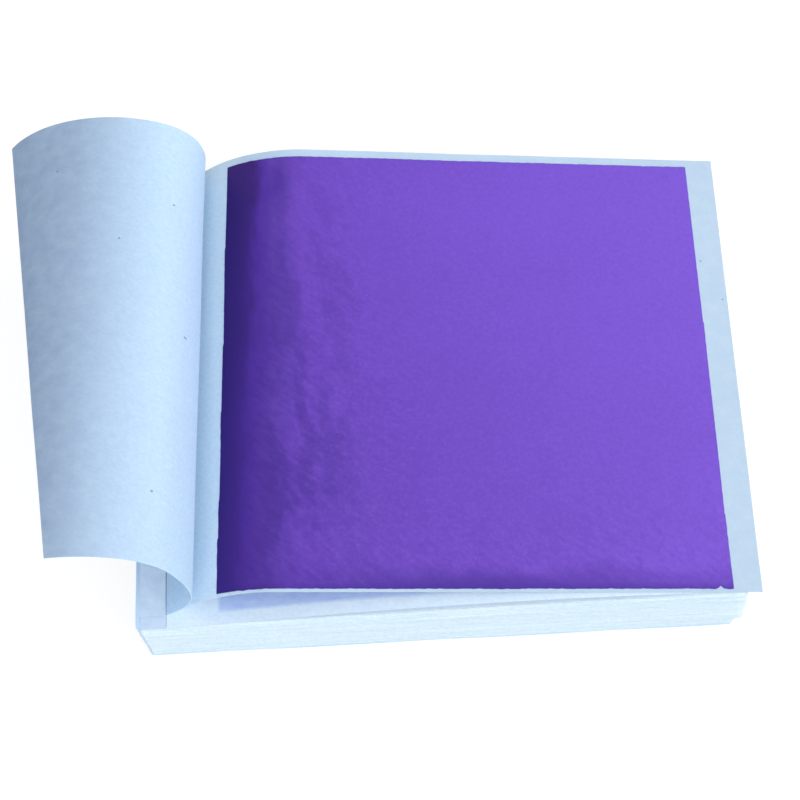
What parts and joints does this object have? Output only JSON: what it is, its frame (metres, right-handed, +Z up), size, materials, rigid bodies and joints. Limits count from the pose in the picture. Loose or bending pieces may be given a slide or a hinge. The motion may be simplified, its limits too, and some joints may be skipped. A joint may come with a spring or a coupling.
{
  "type": "metal leaf booklet",
  "caption": "Pad of tissue sheets glued along its spine, with a square of violet metal leaf on every second sheet; the first page is curled over, the next lies open.",
  "frame": {"origin": "middle of the flat underside of the backing sheet, on the table", "axes": "+X from the glued spine to the fore-edge, +Y along the spine away from the viewer, +Z up"},
  "size_m": [0.1264, 0.0856, 0.0547],
  "materials": {
    "tissue": "thin matt tissue paper, pale blue-white",
    "leaf": "violet lacquered metal leaf, satin with fine crinkles",
    "backing": "heavier uncoated paper",
    "glue": "dried padding glue, translucent and matt"
  },
  "bodies": {
    "pad": {"backing_sheet": "backing", "spine_glue": "glue", "page_stubs": "tissue", "block_pages_01": "tissue", "block_leaves_01": "leaf", "block_pages_02": "tissue", "block_leaves_02": "leaf", "block_pages_03": "tissue", "block_leaves_03": "leaf", "block_pages_04": "tissue", "block_leaves_04": "leaf", "block_pages_05": "tissue", "block_leaves_05": "leaf", "block_pages_06": "tissue", "block_leaves_06": "leaf", "block_pages_07": "tissue", "block_leaves_07": "leaf", "block_pages_08": "tissue", "block_leaves_08": "leaf", "block_pages_09": "tissue", "block_leaves_09": "leaf", "block_pages_10": "tissue", "block_leaves_10": "leaf", "block_pages_11": "tissue", "block_leaves_11": "leaf", "block_pages_12": "tissue", "block_leaves_12": "leaf", "block_pages_13": "tissue", "block_leaves_13": "leaf", "block_pages_14": "tissue", "block_leaves_14": "leaf", "block_pages_15": "tissue", "block_leaves_15": "leaf", "block_pages_16": "tissue", "block_leaves_16": "leaf", "block_pages_17": "tissue", "block_leaves_17": "leaf", "block_pages_18": "tissue", "block_leaves_18": "leaf", "block_pages_19": "tissue", "block_leaves_19": "leaf"},
    "page_05": {"page_05": "tissue"},
    "page_04": {"page_04": "tissue", "leaf_04": "leaf"},
    "page_03": {"page_03": "tissue"},
    "open_page": {"open_page": "tissue"},
    "open_leaf": {"open_leaf": "leaf"},
    "turned_page": {"turned_page": "tissue"}
  },
  "joints": [
    {"name": "open_page_hinge", "type": "hinge", "parent": "pad", "child": "open_page", "pos_m": [-0.0462, 0, 0.01936], "axis": [0, -1, 0], "range_deg": [0, 35]},
    {"name": "turned_page_hinge", "type": "hinge", "parent": "open_page", "child": "turned_page", "pos_m": [-0.0462, 0, 0.01955], "axis": [0, -1, 0], "range_deg": [-3, 20]},
    {"name": "open_leaf_lift", "type": "slide", "parent": "open_page", "child": "open_leaf", "axis": [0.0732, -0.0026, 0.9973], "range_m": [0, 0.012]},
    {"name": "page_03_hinge", "type": "hinge", "parent": "pad", "child": "page_03", "pos_m": [-0.0462, 0, 0.01905], "axis": [0, -1, 0], "range_deg": [0, 21]},
    {"name": "page_04_hinge", "type": "hinge", "parent": "pad", "child": "page_04", "pos_m": [-0.0462, 0, 0.01886], "axis": [0, -1, 0], "range_deg": [0, 12.25]},
    {"name": "page_05_hinge", "type": "hinge", "parent": "pad", "child": "page_05", "pos_m": [-0.0462, 0, 0.01867], "axis": [0, -1, 0], "range_deg": [0, 5.25]}
  ],
  "couplings": [
    {"joint": "page_03_hinge", "follows": "open_page_hinge", "ratio": 0.6},
    {"joint": "page_04_hinge", "follows": "open_page_hinge", "ratio": 0.35},
    {"joint": "page_05_hinge", "follows": "open_page_hinge", "ratio": 0.15}
  ]
}
